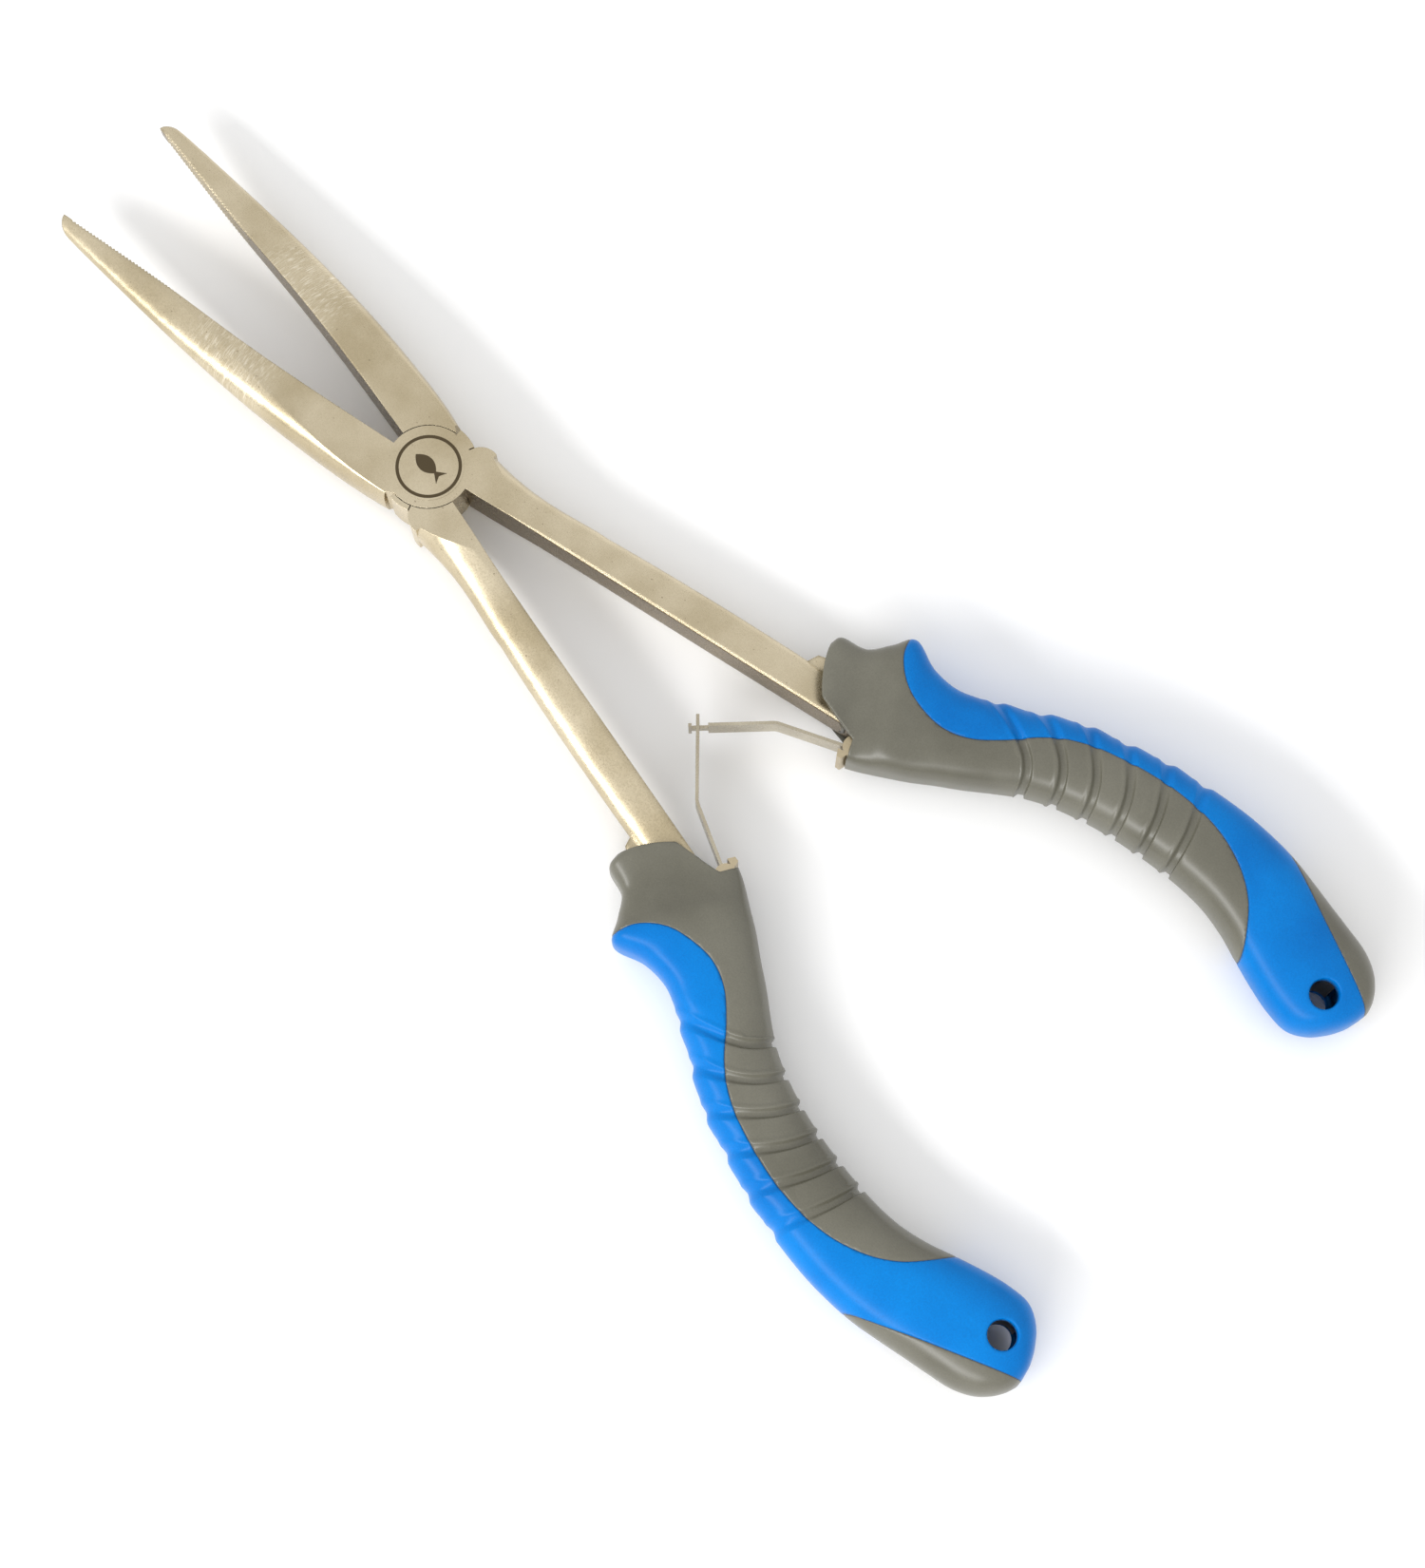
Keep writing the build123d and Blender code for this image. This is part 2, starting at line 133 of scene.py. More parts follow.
def vector_node(nodes, links, operation, first, second):
    node = nodes.new("ShaderNodeVectorMath")
    node.operation = operation
    feed(links, first, node.inputs[0])
    feed(links, second, node.inputs[1])
    return node.outputs["Value" if operation == "DOT_PRODUCT" else "Vector"]


def blend_colour(nodes, links, factor, first, second, mode="MIX"):
    node = nodes.new("ShaderNodeMix")
    node.data_type = "RGBA"
    node.blend_type = mode
    feed(links, factor, node.inputs["Factor"])
    feed(links, first, node.inputs["A"])
    feed(links, second, node.inputs["B"])
    return node.outputs["Result"]


def bump(nodes, links, height, strength, distance, normal=None):
    node = nodes.new("ShaderNodeBump")
    node.inputs["Strength"].default_value = strength
    node.inputs["Distance"].default_value = distance
    links.new(height, node.inputs["Height"])
    if normal:
        links.new(normal, node.inputs["Normal"])
    return node.outputs["Normal"]


def soft_edges(nodes, links, radius):
    """A normal that rounds the mesh's sharp edges to a radius."""
    node = nodes.new("ShaderNodeBevel")
    node.samples = 6
    feed(links, radius, node.inputs["Radius"])
    return node.outputs["Normal"]


# ---- metal ----
PLATING_DARK, PLATING_LIGHT = (0.50, 0.42, 0.275), (0.66, 0.575, 0.415)
ENGRAVED = (0.115, 0.088, 0.052, 1)
SHADED_INNER = (0.33, 0.28, 0.21, 1)
GRIND_START, GRIND_END = 0.030, 0.056  # where grinding marks cross the jaws, ahead of the pivot
GRIND_FADE = 0.008
GRAIN_HEIGHT = 0.00004  # of the blasted or spark-eroded grain
ENGRAVED_FADE = 0.00001


def satin_plating(name, dark, light, roughness, side=None, engraved_below=None):
    """Satin nickel over a forging: cloudy colour, fine blasted grain and pits; a lever's also has
    soft edges.

    A lever also gets grinding marks, and painted shade on its inner faces, which face the
    other lever. The joint's mark is dark below its surface.
    """
    material, nodes, links, shader = new_material(name)
    texture = nodes.new("ShaderNodeTexCoord")
    place, facing = texture.outputs["Object"], texture.outputs["Normal"]
    clouds = noise(nodes, links, place, 70, 5)
    speck = noise(nodes, links, place, 3200, 2)
    pits = noise(nodes, links, place, 1500, 1)
    colour = ramp(nodes, links, clouds, [(0.34, dark), (0.66, light)])
    grain = ramp(nodes, links, speck, [(0.3, (0.86, 0.85, 0.83)), (0.7, (1.0, 1.0, 1.0))])
    colour = blend_colour(nodes, links, 0.6, colour, grain, "MULTIPLY")
    pitted = remap(nodes, links, pits, 0.20, 0.27, 0.8, 0.0, smooth=True)
    colour = blend_colour(nodes, links, pitted, colour, (0.3, 0.24, 0.16, 1))
    height = speck
    normal = None
    rough = remap(nodes, links, speck, 0.3, 0.7, roughness - 0.04, roughness + 0.05)
    if side:
        to_lever = lever_matrix(side).to_3x3().normalized()
        ahead, across = to_lever.col[0], to_lever.col[1]
        from_pivot = vector_node(nodes, links, "SUBTRACT", place, PIVOT)
        along = vector_node(nodes, links, "DOT_PRODUCT", from_pivot, ahead)
        sideways = vector_node(nodes, links, "DOT_PRODUCT", from_pivot, across)
        # the jaw's gripping face looks across to -Y, the shank's inner face to +Y
        on_jaw = remap(nodes, links, along, -0.001, 0.001, 1.0, -1.0)
        inward = vector_node(nodes, links, "DOT_PRODUCT", facing, across)
        inward = math_node(nodes, links, "MULTIPLY", inward, on_jaw)
        # painted shade: the inner faces that look across to the other lever are darkened in colour
        inner_shade = remap(nodes, links, inward, 0.86, 0.97, 0.0, 1.0, smooth=True)
        colour = blend_colour(nodes, links, inner_shade, colour, SHADED_INNER, "MULTIPLY")
        # fine marks across the jaw where its flat was ground off, but not on its inner face
        marks = nodes.new("ShaderNodeCombineXYZ")
        links.new(math_node(nodes, links, "MULTIPLY", along, 5200.0), marks.inputs["X"])
        links.new(math_node(nodes, links, "MULTIPLY", sideways, 420.0), marks.inputs["Y"])
        scratch = noise(nodes, links, marks.outputs["Vector"], 1.0, 3, 0.6)
        start = remap(
            nodes, links, along, GRIND_START, GRIND_START + GRIND_FADE, smooth=True
        )
        stop = remap(nodes, links, along, GRIND_END - GRIND_FADE, GRIND_END, 1.0, 0.0, smooth=True)
        grind = math_node(nodes, links, "MULTIPLY", start, stop)
        not_inner = math_node(nodes, links, "SUBTRACT", 1.0, inner_shade)
        grind = math_node(nodes, links, "MULTIPLY", grind, not_inner)
        shine = math_node(nodes, links, "MULTIPLY", remap(nodes, links, scratch, 0.5, 0.8), grind)
        colour = blend_colour(nodes, links, shine, colour, (1.0, 0.93, 0.78, 1))
        scratched = math_node(nodes, links, "MULTIPLY", scratch, grind)
        height = math_node(nodes, links, "ADD", height, scratched)
        # crisp at the joint, worn round along the jaws and shanks
        on_shank = remap(nodes, links, along, -0.03, -0.012, 0.0014, 0.00012, smooth=True)
        on_blade = remap(nodes, links, along, 0.0115, 0.025, 0.0, 0.0006, smooth=True)
        normal = soft_edges(nodes, links, math_node(nodes, links, "ADD", on_shank, on_blade))
    if engraved_below:
        parts = nodes.new("ShaderNodeSeparateXYZ")
        links.new(place, parts.inputs["Vector"])
        surface = engraved_below + ENGRAVED_FADE
        sunk = remap(nodes, links, parts.outputs["Z"], engraved_below, surface, 1.0, 0.0)
        colour = blend_colour(nodes, links, sunk, colour, ENGRAVED)
        dull = math_node(nodes, links, "MULTIPLY", sunk, 0.7)
        rough = math_node(nodes, links, "MAXIMUM", rough, dull)
    links.new(colour, shader.inputs["Base Color"])
    links.new(rough, shader.inputs["Roughness"])
    links.new(bump(nodes, links, height, 0.13, GRAIN_HEIGHT, normal), shader.inputs["Normal"])
    shader.inputs["Metallic"].default_value = 1.0
    return material


# ---- rubber and plastic ----
def soft_rubber(name, dark, light, roughness, shine, seam=None):
    """Moulded rubber or plastic: matte and cloudy, with a fine spark-eroded grain.

    The grips' meshes say how far each point is from the joint between colours. A thin line
    follows it, in the colour seam.
    """
    material, nodes, links, shader = new_material(name)
    coords = nodes.new("ShaderNodeTexCoord").outputs["Object"]
    clouds = noise(nodes, links, coords, 55, 5)
    speck = noise(nodes, links, coords, 3600, 2)
    colour = ramp(nodes, links, clouds, [(0.32, dark), (0.68, light)])
    grain = ramp(nodes, links, speck, [(0.3, (0.86, 0.86, 0.86)), (0.7, (1.0, 1.0, 1.0))])
    colour = blend_colour(nodes, links, 1.0, colour, grain, "MULTIPLY")
    if seam:
        attribute = nodes.new("ShaderNodeAttribute")
        attribute.attribute_name = "from_seam"
        line = remap(nodes, links, attribute.outputs["Fac"], 0.0, 0.28, 0.7, 0.0, smooth=True)
        colour = blend_colour(nodes, links, line, colour, (*seam, 1))
    links.new(colour, shader.inputs["Base Color"])
    rough = remap(nodes, links, clouds, 0.3, 0.7, roughness - 0.05, roughness + 0.05)
    links.new(rough, shader.inputs["Roughness"])
    links.new(bump(nodes, links, speck, 0.16, GRAIN_HEIGHT), shader.inputs["Normal"])
    shader.inputs["Specular IOR Level"].default_value = shine
    return material


SPRING_DARK, SPRING_LIGHT = (0.42, 0.37, 0.28), (0.60, 0.55, 0.43)
ANCHOR_DARK, ANCHOR_LIGHT = (0.48, 0.40, 0.26), (0.62, 0.53, 0.37)
CORE_DARK, CORE_LIGHT = (0.009, 0.009, 0.010), (0.013, 0.013, 0.014)
GREY_DARK, GREY_LIGHT = (0.112, 0.107, 0.080), (0.160, 0.154, 0.120)
BLUE_DARK, BLUE_LIGHT = (0.0, 0.145, 0.49), (0.0, 0.205, 0.63)
GREY_SEAM, BLUE_SEAM = (0.085, 0.080, 0.06), (0.0, 0.075, 0.26)
MATERIALS = {
    "rivet_steel": satin_plating("rivet_steel", PLATING_DARK, PLATING_LIGHT, 0.30),
    "spring_steel": satin_plating("spring_steel", SPRING_DARK, SPRING_LIGHT, 0.26),
    "anchor_steel": satin_plating("anchor_steel", ANCHOR_DARK, ANCHOR_LIGHT, 0.36),
    "core_plastic": soft_rubber("core_plastic", CORE_DARK, CORE_LIGHT, 0.45, 0.4),
    "grip_grey": soft_rubber("grip_grey", GREY_DARK, GREY_LIGHT, 0.34, 0.5, GREY_SEAM),
    "grip_blue": soft_rubber("grip_blue", BLUE_DARK, BLUE_LIGHT, 0.32, 0.13, BLUE_SEAM),
}
LEVER_STEEL = {
    side: satin_plating(f"{side}_lever_steel", PLATING_DARK, PLATING_LIGHT, 0.29, side)
    for side in SIDES
}
for subpart in frame["record"]["subparts"]:
    side = subpart["node"].split("_")[0]
    lever = subpart["material_slot"] == "lever_steel"
    material = LEVER_STEEL[side] if lever else MATERIALS[subpart["material_slot"]]
    for material_slot in frame["nodes"][subpart["node"]].material_slots:
        material_slot.material = material

# ---- the moulded grips ----
# inner edge x, y and outer edge x, y in plan, half thickness, from the front to the butt
STATIONS = [
    (-92.6, -0.2, -78.9, -17.0, 6.3),
    (-93.4, -0.4, -79.9, -18.9, 6.2),
    (-95.6, -1.0, -84.6, -19.8, 5.5),
    (-98.0, -2.0, -87.9, -23.2, 6.1),
    (-100.4, -3.1, -91.0, -26.5, 7.25),
    (-104.5, -4.9, -96.8, -24.0, 6.75),
    (-109.0, -7.3, -102.8, -23.5, 6.8),
    (-113.6, -9.6, -108.6, -25.7, 6.9),
    (-118.6, -12.4, -114.0, -27.7, 6.9),
    (-122.7, -14.5, -119.2, -30.0, 6.9),
    (-127.3, -16.1, -125.0, -32.1, 6.9),
    (-133.0, -17.3, -132.0, -33.4, 7.0),
    (-139.0, -18.0, -140.0, -34.8, 7.1),
    (-146.0, -18.2, -148.5, -35.3, 7.2),
    (-153.5, -17.9, -157.0, -35.2, 7.3),
    (-160.0, -16.9, -163.8, -34.4, 7.3),
    (-165.5, -15.0, -169.0, -33.3, 7.35),
    (-170.5, -12.5, -174.0, -31.7, 7.4),
    (-175.5, -10.1, -179.0, -30.0, 7.4),
    (-180.0, -8.3, -183.5, -28.5, 7.4),
    (-184.4, -7.4, -187.6, -27.0, 7.35),
    (-188.0, -8.6, -190.8, -24.9, 7.1),
    (-190.8, -11.0, -192.8, -22.5, 6.3),
    (-192.7, -13.5, -193.9, -20.2, 4.7),
    (-193.7, -15.7, -194.3, -18.4, 2.6),
    (-194.1, -16.9, -194.3, -17.6, 0.8),
]
FRONT_BULGE = 2.3  # the front edge's middle stands this far ahead of its ends
BULGE_FADE = 3.2  # in stations
SECTION_POWER = 2.5  # 2 would be an ellipse, more is squarer
FRONT_POWER, POWER_FADE = 4.6, 4.4  # the squarer front, and how many stations it takes to fade
COLUMNS = 152
WALL_SEARCH = 2000  # places tried along the grip to find each groove's rear wall
FRONT_ROWS, REAR_ROWS = 66, 110
# shares of a groove's pitch where rings are needed, from one rear wall to the next
GROOVE_ROWS = (
    0.0, 0.04, 0.1, 0.17, 0.24, 0.31, 0.38, 0.43, 0.48, 0.52, 0.55, 0.58, 0.61, 0.635, 0.66, 0.68,
    0.70, 0.72, 0.74, 0.76, 0.785, 0.81, 0.84, 0.87, 0.90, 0.93, 0.95, 0.97, 0.985,
)
# rings from the shank out over the front face and round its edge: each is a share of the first
# section's width and of its height, and a distance back from its plane
FRONT_RINGS = [
    (0.30, 0.30, 0.9), (0.62, 0.62, 0.6), (0.80, 0.80, 0.1), (0.87, 0.87, -0.2),
    (0.92, 0.92, -0.36), (0.96, 0.96, -0.36), (0.985, 0.985, -0.2),
]

# finger grooves: each runs back from a soft lip to a steep rear wall
GROOVE_COUNT = 6
GROOVE_ROOT_X, GROOVE_ROOT_PITCH = -123.2, 5.85
GROOVE_LEAN, GROOVE_LEAN_STEP, LEAN_POWER = 12.7, 2.02, 1.6
GROOVE_WIDTH = 0.33  # of the pitch
GROOVE_DEPTH = 0.66
LIP_HEIGHT = 0.17
LAND_SLOPE = 0.3  # how far the lands fall towards the next groove on the outer side
OUTER_START, OUTER_SPAN = 0.35, 0.55  # of the way across, where the outer side's form sets in
OUTER_WIDENING = 0.12
WALL_START, OUTER_WALL_SHIFT = 0.93, 0.16  # of the pitch
FLOOR_EASE, OUTER_FLOOR_EASE = 0.13, 0.1
BEAD_START, BEAD_TOP, BEAD_END = -0.13, -0.03, 0.08  # from the lip
OUTER_LIP_LOSS, OUTER_DEPTH_LOSS = 0.6, 0.55
LAST_WALL_EASE = 0.01

# joints between colours, in plan
BAND_LINE = [
    (-88.4, -31.0), (-89.7, -26.6), (-91.2, -21.6), (-95.0, -17.5), (-100.0, -15.4),
    (-105.0, -14.8), (-110.0, -16.2), (-115.0, -19.6), (-120.0, -23.9), (-125.0, -26.8),
    (-131.0, -28.6), (-140.0, -29.8), (-148.0, -29.6), (-155.0, -28.1), (-161.0, -25.2),
    (-165.5, -21.4), (-168.6, -16.8), (-171.2, -11.5), (-174.0, -4.0),
]
HEEL_LINE = [
    (-163.0, -37.0), (-167.0, -33.6), (-172.0, -30.4), (-178.0, -26.6), (-183.0, -23.6),
    (-188.0, -20.6), (-193.5, -17.3), (-198.0, -14.5),
]
LINE_STEPS = 8  # between two points of such a line
SEAM_DIP = 0.06
ON_SEAM = 0.02  # a point nearer than this lies on the joint
BAND_SLACK = 0.01
FAR_AWAY = 99.0
SLIDE_SHARE = 0.3  # of an edge: a point nearer the line than this slides onto it

# the opening at the inner front corner where the spring leaves
MOUTH = [
    (-93.7, -1.2), (-93.9, 4.0), (-75.0, 4.0), (-75.0, -9.6),
    (-87.2, -5.9), (-89.5, -5.2), (-92.7, -4.0),
]

LANYARD_HOLE = (-186.0, -15.0)
LANYARD_RADIUS = 2.62
LANYARD_FLARE = 0.5
RIM_REACH = 0.3  # from the flare's cut edge, to tell it from the mouth's
# rings of the rim: outward from the straight bore, and down from the ring before
LANYARD_RIM = [(0.24, 0.08), (0.07, 0.24), (0.0, 0.5), (0.0, 2.0)]
SHELL_THICKNESS = 0.9


def through(points, places):
    """A smooth curve through rows of numbers, read at places counted in rows."""
    rows = np.array(points, float)
    places = np.clip(places, 0, len(rows) - 1)
    start = np.minimum(places.astype(int), len(rows) - 2)
    share = (places - start)[:, None]
    row = [rows[np.clip(start + step, 0, len(rows) - 1)] for step in (-1, 0, 1, 2)]
    return 0.5 * (
        2 * row[1]
        + (row[2] - row[0]) * share
        + (2 * row[0] - 5 * row[1] + 4 * row[2] - row[3]) * share**2
        + (3 * row[1] - row[0] - 3 * row[2] + row[3]) * share**3
    )


def groove_lean(share):
    """How far ahead a groove's rear wall lies, and the pitch, at a share of the way across."""
    lean = share**LEAN_POWER
    return GROOVE_ROOT_X + GROOVE_LEAN * lean, GROOVE_ROOT_PITCH + GROOVE_LEAN_STEP * lean


def groove_height(x, share):
    """How far the surface stands above or below the plain form. share runs across from the
    inner edge, 0, to the outer edge, 1."""
    root, pitch = groove_lean(share)
    count = (root - x) / pitch + 1e-6  # whole at each rear wall
    part = count - np.floor(count)
    outer = np.clip((share - OUTER_START) / OUTER_SPAN, 0, 1)
    width = GROOVE_WIDTH + OUTER_WIDENING * outer
    lip = 1 - width

    def step(low, high, value):
        ease = np.clip((value - low) / (high - low), 0, 1)
        return ease * ease * (3 - 2 * ease)

    wall = WALL_START - OUTER_WALL_SHIFT * outer
    before_wall = 1 - step(wall, 1.0, part)
    floor = step(lip, lip + FLOOR_EASE + OUTER_FLOOR_EASE * outer, part) * before_wall
    bead = step(lip + BEAD_START, lip + BEAD_TOP, part) * (1 - step(lip, lip + BEAD_END, part))
    slope = step(0, lip, part) * before_wall
    height = LIP_HEIGHT * bead * (1 - OUTER_LIP_LOSS * outer)
    height -= GROOVE_DEPTH * floor * (1 - OUTER_DEPTH_LOSS * outer)
    height -= LAND_SLOPE * outer * slope
    last = GROOVE_COUNT - 1
    active = step(-1.0, -1.0 + lip, count) * (1 - step(last - LAST_WALL_EASE, last, count))
    before_first = (count < -width) & (outer == 0)
    return np.where(before_first, 0.0, height * active)


def plan_point(places, share, wide=1.0, back=0.0):
    """Where points lie in plan, the way across the grip there, its width and half thickness."""
    stations = through(STATIONS, places)
    inner, outer = stations[:, :2], stations[:, 2:4]
    span = (outer - inner) * wide
    width = np.hypot(span[:, 0], span[:, 1])
    along = span / width[:, None]
    forward = np.column_stack((-along[:, 1], along[:, 0]))
    bulge = FRONT_BULGE * np.exp(-((places / BULGE_FADE) ** 2)) * wide**0.5
    ahead = bulge * 4 * share * (1 - share) - back
    plan = (inner + outer) / 2 + span * (share - 0.5)[:, None] + forward * ahead[:, None]
    return plan, along, width, stations[:, 4]


def section_rings():
    """Every ring of the grip's closed form, front to butt, as points in the lever frame. The
    rings follow the grooves, so that every lip and wall has its own rows of points."""
    angle = np.arange(COLUMNS) * 2 * math.pi / COLUMNS
    cosine, sine = np.cos(angle), np.sin(angle)
    across = np.sign(cosine) * np.abs(cosine) ** (2 / SECTION_POWER)
    share = (1 - across) / 2

    def ring(places, wide=1.0, tall=1.0, back=0.0, grooved=True):
        plan, along, width, half = plan_point(places, share, wide, back)
        front_share = np.exp(-((places / POWER_FADE) ** 2))
        power = SECTION_POWER + (FRONT_POWER - SECTION_POWER) * front_share
        up = np.sign(sine) * (1 - np.abs(across) ** power) ** (1 / power)
        # outward in the plane of the section
        normal_across = np.sign(across) * np.abs(across) ** (power - 1) / (width / 2)
        normal_up = np.sign(up) * np.abs(up) ** (power - 1) / (half * tall)
        size = np.hypot(normal_across, normal_up)
        lift = groove_height(plan[:, 0], share) if grooved else np.zeros(COLUMNS)
        plan = plan - along * (lift * normal_across / size)[:, None]
        return np.column_stack((plan, half * tall * up + lift * normal_up / size))

    # the places where each column meets each groove's rear wall
    fine = np.linspace(0, len(STATIONS) - 1, WALL_SEARCH)
    root, pitch = groove_lean(share)
    walls = np.empty((GROOVE_COUNT + 1, COLUMNS))
    for column in range(COLUMNS):
        x = plan_point(fine, np.full(len(fine), share[column]))[0][:, 0]
        wanted = root[column] - np.arange(-1, GROOVE_COUNT) * pitch[column]
        walls[:, column] = np.interp(-wanted, -x, fine)
    last = np.full(COLUMNS, len(STATIONS) - 1.0)
    rows = [walls[0] * part for part in np.linspace(0, 1, FRONT_ROWS, endpoint=False)]
    for start, end in zip(walls, walls[1:]):
        rows += [start + (end - start) * part for part in GROOVE_ROWS]
    rows += [walls[-1] + (last - walls[-1]) * part for part in np.linspace(0, 1, REAR_ROWS)]
    front = np.zeros(COLUMNS)
    rings = [ring(front, *shape, grooved=False) for shape in FRONT_RINGS]
    return rings + [ring(places) for places in rows]


def line_points(line):
    """A joint's line, smoothed."""
    pieces = len(line) - 1
    return through(line, np.linspace(0, pieces, LINE_STEPS * pieces + 1))


def side_of_line(points, line):
    """Signed distance in plan from a line: positive on its left going along it."""
    start, end = line[:-1], line[1:]
    run = end - start
    to_point = points[:, None, :2] - start[None]
    share = np.clip((to_point * run).sum(2) / (run**2).sum(1), 0, 1)
    gap = to_point - share[..., None] * run
    distance = np.hypot(gap[..., 0], gap[..., 1])
    nearest = distance.argmin(1)
    pick = np.arange(len(points))
    ahead, offset = run[nearest], to_point[pick, nearest]
    turn = ahead[:, 0] * offset[:, 1] - ahead[:, 1] * offset[:, 0]
    return np.sign(turn) * distance[pick, nearest]


def depth_in_mouth(points):
    """Negative inside the mouth's opening."""
    corners = np.array(MOUTH)
    outside = -np.inf * np.ones(len(points))
    middle = corners.mean(0)
    for start, end in zip(corners, np.roll(corners, -1, 0)):
        normal = np.array([end[1] - start[1], start[0] - end[0]])
        normal = normal / np.linalg.norm(normal)
        if normal @ (middle - start) > 0:
            normal = -normal
        outside = np.maximum(outside, (points[:, :2] - start) @ normal)
    return outside


def cut_along(mesh, measure):
    """Divides the mesh's faces along the line where measure, a function of points, is zero."""
    value = dict(zip(mesh.verts, measure(np.array([vert.co for vert in mesh.verts]))))
    # slide vertices that are nearly on the line onto it, along an edge that crosses it
    for vert in mesh.verts:
        crossings = []
        for edge in vert.link_edges:
            other = edge.other_vert(vert)
            if value[vert] * value[other] < 0:
                crossings.append((value[vert] / (value[vert] - value[other]), other.co))
        if crossings:
            share, towards = min(crossings, key=lambda crossing: crossing[0])
            if share < SLIDE_SHARE:
                vert.co = vert.co.lerp(towards, share)
                value[vert] = 0.0
    for edge in list(mesh.edges):
        first, second = edge.verts
        if value[first] * value[second] < 0:
            share = value[first] / (value[first] - value[second])
            value[bmesh.utils.edge_split(edge, first, share)[1]] = 0.0
    for face in list(mesh.faces):
        verts = list(face.verts)
        signs = [np.sign(value[vert]) for vert in verts]
        if 1 in signs and -1 in signs:
            on_line = [place for place, sign in enumerate(signs) if sign == 0]
            for start, end in itertools.combinations(on_line, 2):
                between = set(signs[start + 1 : end]) - {0}
                rest = set(signs[:start] + signs[end + 1 :]) - {0}
                if len(between) == 1 and rest and between != rest:
                    bmesh.utils.face_split(face, verts[start], verts[end])
                    break


def beyond_flare(points):
    """Negative inside the lanyard hole's flared mouth."""
    reach = np.hypot(points[:, 0] - LANYARD_HOLE[0], points[:, 1] - LANYARD_HOLE[1])
    return reach - (LANYARD_RADIUS + LANYARD_FLARE)


def turn_in_rims(mesh):
    """Rolls the lanyard hole's two edges in and down to its straight bore."""

    def on_rim(vert):
        reach = math.dist(vert.co[:2], LANYARD_HOLE)
        return abs(reach - LANYARD_RADIUS - LANYARD_FLARE) < RIM_REACH

    rims = [edge for edge in mesh.edges if edge.is_boundary and all(map(on_rim, edge.verts))]
    for outward, down in LANYARD_RIM:
        made = bmesh.ops.extrude_edge_only(mesh, edges=rims)["geom"]
        rims = [item for item in made if isinstance(item, bmesh.types.BMEdge)]
        for vert in (item for item in made if isinstance(item, bmesh.types.BMVert)):
            x, y, z = vert.co
            spoke = Vector((x - LANYARD_HOLE[0], y - LANYARD_HOLE[1])).normalized()
            spoke *= LANYARD_RADIUS + outward
            level = z - down if z > 0 else z + down
            vert.co = (LANYARD_HOLE[0] + spoke.x, LANYARD_HOLE[1] + spoke.y, level)


def new_piece(name, data):
    piece = bpy.data.objects.new(name, data)
    bpy.context.collection.objects.link(piece)
    return piece


def build_grip(side):
    """Makes a side's three grip pieces and places them on its lever."""
    band_line, heel_line = line_points(BAND_LINE), line_points(HEEL_LINE)
    seams = (
        lambda points: side_of_line(points, band_line),
        lambda points: side_of_line(points, heel_line),
    )
    mesh = bmesh.new()
    rows = [[mesh.verts.new(point) for point in ring] for ring in section_rings()]
    for row, following in zip(rows, rows[1:]):
        for column in range(COLUMNS):
            beside = (column + 1) % COLUMNS
            mesh.faces.new((row[column], row[beside], following[beside], following[column]))
    mesh.faces.new(rows[-1])
    for measure in seams:
        cut_along(mesh, measure)

    for measure in (beyond_flare, depth_in_mouth):
        cut_along(mesh, measure)
        centres = np.array([face.calc_center_median() for face in mesh.faces])
        inside = [face for face, depth in zip(mesh.faces, measure(centres)) if depth < 0]
        bmesh.ops.delete(mesh, geom=inside, context="FACES")
    bmesh.ops.recalc_face_normals(mesh, faces=mesh.faces)
    mesh.normal_update()

    # sink the colour joints a little
    points = np.array([vert.co for vert in mesh.verts])
    from_band, from_heel = (measure(points) for measure in seams)
    # the heel's line counts only where it divides the band
    from_heel = np.where(from_band > -BAND_SLACK, from_heel, FAR_AWAY)
    from_seam = np.minimum(np.abs(from_band), np.abs(from_heel))
    seam_distance = mesh.verts.layers.float.new("from_seam")
    for vert, distance in zip(mesh.verts, from_seam):
        vert[seam_distance] = distance
        if distance < ON_SEAM:
            vert.co -= vert.normal * SEAM_DIP

    turn_in_rims(mesh)
    bmesh.ops.recalc_face_normals(mesh, faces=mesh.faces)

    centres = np.array([face.calc_center_median() for face in mesh.faces])
    band, heel = (measure(centres) > 0 for measure in seams)
    chosen = {
        "grip_body": ~band,
        "grip_band": band & ~heel,
        "grip_heel": band & heel,
    }
    for name, keep in chosen.items():
        piece_mesh = mesh.copy()
        piece_mesh.faces.ensure_lookup_table()
        drop = [piece_mesh.faces[index] for index, kept in enumerate(keep) if not kept]
        bmesh.ops.delete(piece_mesh, geom=drop, context="FACES")
        data = bpy.data.meshes.new(f"{side}_{name}_moulded")
        piece_mesh.to_mesh(data)
        piece_mesh.free()
        data.shade_smooth()
        slot = "grip_blue" if name == "grip_band" else "grip_grey"
        data.materials.append(MATERIALS[slot])
        data.transform(lever_matrix(side))
        piece = new_piece(f"{side}_{name}_moulded", data)
        shell = piece.modifiers.new("shell", "SOLIDIFY")
        shell.thickness = SHELL_THICKNESS * MM
        shell.offset = -1
        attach(piece, f"{side}_handle")
        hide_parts(f"{side}_{name}")
    mesh.free()


for side in SIDES:
    build_grip(side)

# ---- the caps on the rivet's heads, in millimetres about the pivot ----
CAP_HEIGHT = 0.07
CAP_FOOT = 0.002  # a cap's edge stops this short of the joint's face
# the upper one, with a ring and a plain fish sunk into it
CAP_RADIUS, CAP_COLUMNS = 6.5, 160
CAP_PITCH, CAP_GAP, CAP_CHAMFER = 0.12, 0.1, 0.01  # the gap is left before the ring
RING_INNER, RING_OUTER = 5.48, 6.1
SINK = 0.06
FISH_LENGTH, FISH_HALF_HEIGHT, TAIL_ROOT = 6.8, 1.45, 0.25


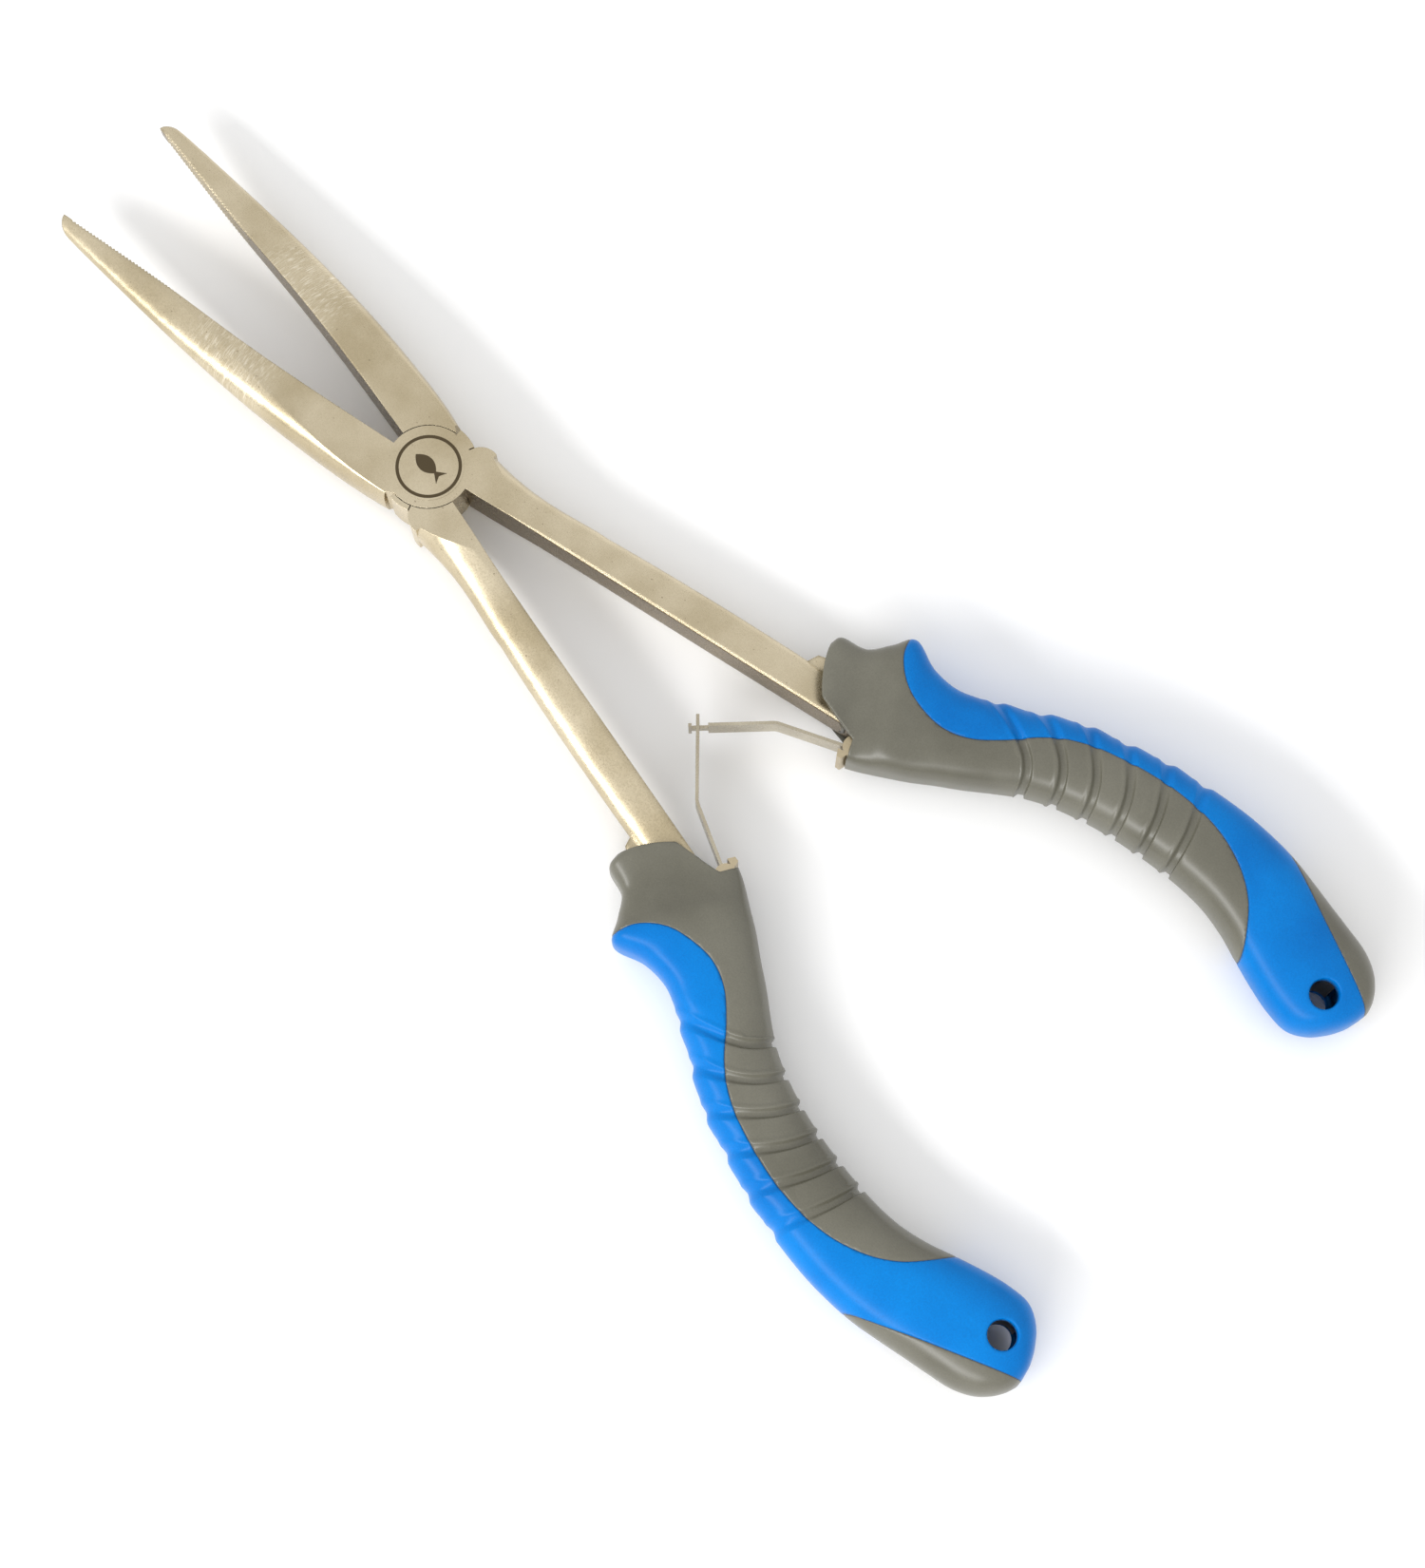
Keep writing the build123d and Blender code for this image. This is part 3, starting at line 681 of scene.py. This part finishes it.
def outside_fish(points):
    """Negative inside the fish: a rounded body from the nose at +X, then a notched tail."""
    x, height = points[:, 0], np.abs(points[:, 1])
    nose, root = FISH_LENGTH / 2, -FISH_LENGTH / 4
    middle = (nose + root) / 2
    from_middle = (x - middle) / (nose - middle)
    body = FISH_HALF_HEIGHT * (1 - from_middle**2) + TAIL_ROOT * np.clip(-from_middle, 0, 1)
    tail = TAIL_ROOT + (FISH_HALF_HEIGHT - TAIL_ROOT) * (root - x) / (nose + root)
    notch = -0.8 * nose - 0.2 * nose * height / FISH_HALF_HEIGHT - x
    return np.maximum(height - np.where(x > root, body, tail), notch)


def ringed_disc(rings, columns):
    """A mesh of rings, each a radius and a height, from the middle out."""
    mesh = bmesh.new()
    turns = np.arange(columns) * 2 * math.pi / columns
    rows = [
        [mesh.verts.new((reach * math.cos(turn), reach * math.sin(turn), level)) for turn in turns]
        for reach, level in rings
    ]
    mesh.faces.new(rows[0])
    for row, following in zip(rows, rows[1:]):
        for column in range(columns):
            beside = (column + 1) % columns
            mesh.faces.new((row[column], following[column], following[beside], row[beside]))
    return mesh


def build_joint_mark():
    flat = [*np.arange(CAP_PITCH, RING_INNER - CAP_GAP, CAP_PITCH), RING_INNER, RING_OUTER]
    rings = [(radius, CAP_HEIGHT) for radius in [*flat, CAP_RADIUS - CAP_CHAMFER]]
    rings += [(CAP_RADIUS, CAP_HEIGHT - CAP_CHAMFER), (CAP_RADIUS, CAP_FOOT)]
    mesh = ringed_disc(rings, CAP_COLUMNS)
    cut_along(mesh, outside_fish)
    centres = np.array([face.calc_center_median() for face in mesh.faces])
    reach = np.hypot(centres[:, 0], centres[:, 1])
    sunk = (outside_fish(centres) < 0) | ((reach > RING_INNER) & (reach < RING_OUTER))
    floors = [face for face, low in zip(mesh.faces, sunk) if low]
    lowered = bmesh.ops.extrude_face_region(mesh, geom=floors)["geom"]
    for item in lowered:
        if isinstance(item, bmesh.types.BMVert):
            item.co.z -= SINK
    bmesh.ops.delete(mesh, geom=[face for face in floors if face.is_valid], context="FACES_ONLY")
    bmesh.ops.recalc_face_normals(mesh, faces=mesh.faces)
    data = bpy.data.meshes.new("joint_mark")
    mesh.to_mesh(data)
    mesh.free()
    top = Vector((PIVOT.x, PIVOT.y, JOINT_TOP))
    data.transform(Matrix.Translation(top) @ Matrix.Scale(MM, 4))
    floor_level = JOINT_TOP + (CAP_HEIGHT - SINK / 2) * MM
    data.materials.append(
        satin_plating("joint_mark", PLATING_DARK, PLATING_LIGHT, 0.30, engraved_below=floor_level)
    )
    piece = new_piece("joint_mark", data)
    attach(piece, "left_handle")


# the lower one, plain, with a faint dome and a worn edge
BACK_RADIUS, BACK_EDGE, BACK_COLUMNS = 5.4, 0.12, 96
BACK_PITCH, BACK_DOME, EDGE_RINGS = 0.4, 0.012, 7


def build_rivet_back():
    inside, brim = BACK_RADIUS - BACK_EDGE, CAP_HEIGHT - BACK_DOME
    rings = [
        (radius, CAP_HEIGHT - BACK_DOME * (radius / inside) ** 2)
        for radius in np.arange(BACK_PITCH, inside, BACK_PITCH)
    ]
    rings += [
        (inside + BACK_EDGE * math.sin(turn), brim * math.cos(turn) + CAP_FOOT)
        for turn in np.linspace(0.0, math.pi / 2, EDGE_RINGS)
    ]
    mesh = ringed_disc(rings, BACK_COLUMNS)
    for face in mesh.faces:
        face.smooth = True
    data = bpy.data.meshes.new("rivet_back")
    mesh.to_mesh(data)
    mesh.free()
    under = Vector((PIVOT.x, PIVOT.y, 2 * PIVOT.z - JOINT_TOP))
    upside_down = Matrix.Rotation(math.pi, 4, "X")
    data.transform(Matrix.Translation(under) @ upside_down @ Matrix.Scale(MM, 4))
    data.materials.append(satin_plating("rivet_back", PLATING_DARK, PLATING_LIGHT, 0.30))
    piece = new_piece("rivet_back", data)
    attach(piece, "left_handle")


build_joint_mark()
build_rivet_back()

# ---- floor, light and camera ----
FLOOR_SIZE = 6.0
FLOOR_WHITE = (0.95, 0.95, 0.95, 1)
WORLD_STRENGTH = 0.95
# a long narrow key light, off to the +Y side
KEY_PLACE, KEY_AIM = Vector((-0.02, 0.62, 0.42)), Vector((-0.02, 0, 0))
KEY_SIZE, KEY_POWER = (0.9, 0.14), 4.6
CAMERA_PLACE = Vector((-0.1204, 0.0980, 0.5378))
CAMERA_LENS_MM, SENSOR_MM = 69.8, 36.0
RIGHT_AXIS = Vector((-0.7138, -0.7003, -0.0041))
DOWN_AXIS = Vector((-0.679, 0.6935, -0.2409))
AHEAD_AXIS = Vector((0.1715, -0.1692, -0.9705))

bpy.ops.mesh.primitive_plane_add(size=FLOOR_SIZE, location=(0, 0, 0))
floor = bpy.context.object
floor.name = "floor"
floor_material, _, _, floor_shader = new_material("floor")
floor_shader.inputs["Base Color"].default_value = FLOOR_WHITE
floor_shader.inputs["Roughness"].default_value = 0.9
floor_shader.inputs["Specular IOR Level"].default_value = 0.1
floor.data.materials.append(floor_material)

scene = bpy.context.scene
scene.view_settings.view_transform = "Standard"
world = bpy.data.worlds.new("studio")
scene.world = world
world.use_nodes = True
background = world.node_tree.nodes["Background"]
background.inputs["Color"].default_value = (1, 1, 1, 1)
background.inputs["Strength"].default_value = WORLD_STRENGTH

key_data = bpy.data.lights.new("key", "AREA")
key_data.shape = "RECTANGLE"
key_data.size, key_data.size_y = KEY_SIZE
key_data.energy = KEY_POWER
key = bpy.data.objects.new("key", key_data)
key.location = KEY_PLACE
key.rotation_euler = (KEY_AIM - KEY_PLACE).to_track_quat("-Z", "Y").to_euler()
bpy.context.collection.objects.link(key)

camera_data = bpy.data.cameras.new("camera")
camera_data.lens = CAMERA_LENS_MM
camera_data.sensor_width = SENSOR_MM
camera_data.clip_start = 0.01
camera_data.clip_end = 100
camera = bpy.data.objects.new("camera", camera_data)
bpy.context.collection.objects.link(camera)
camera.location = CAMERA_PLACE
camera.rotation_mode = "QUATERNION"
turned = Matrix((RIGHT_AXIS, -DOWN_AXIS, -AHEAD_AXIS)).transposed()
camera.rotation_quaternion = turned.to_quaternion()
scene.camera = camera

bpy.context.view_layer.update()
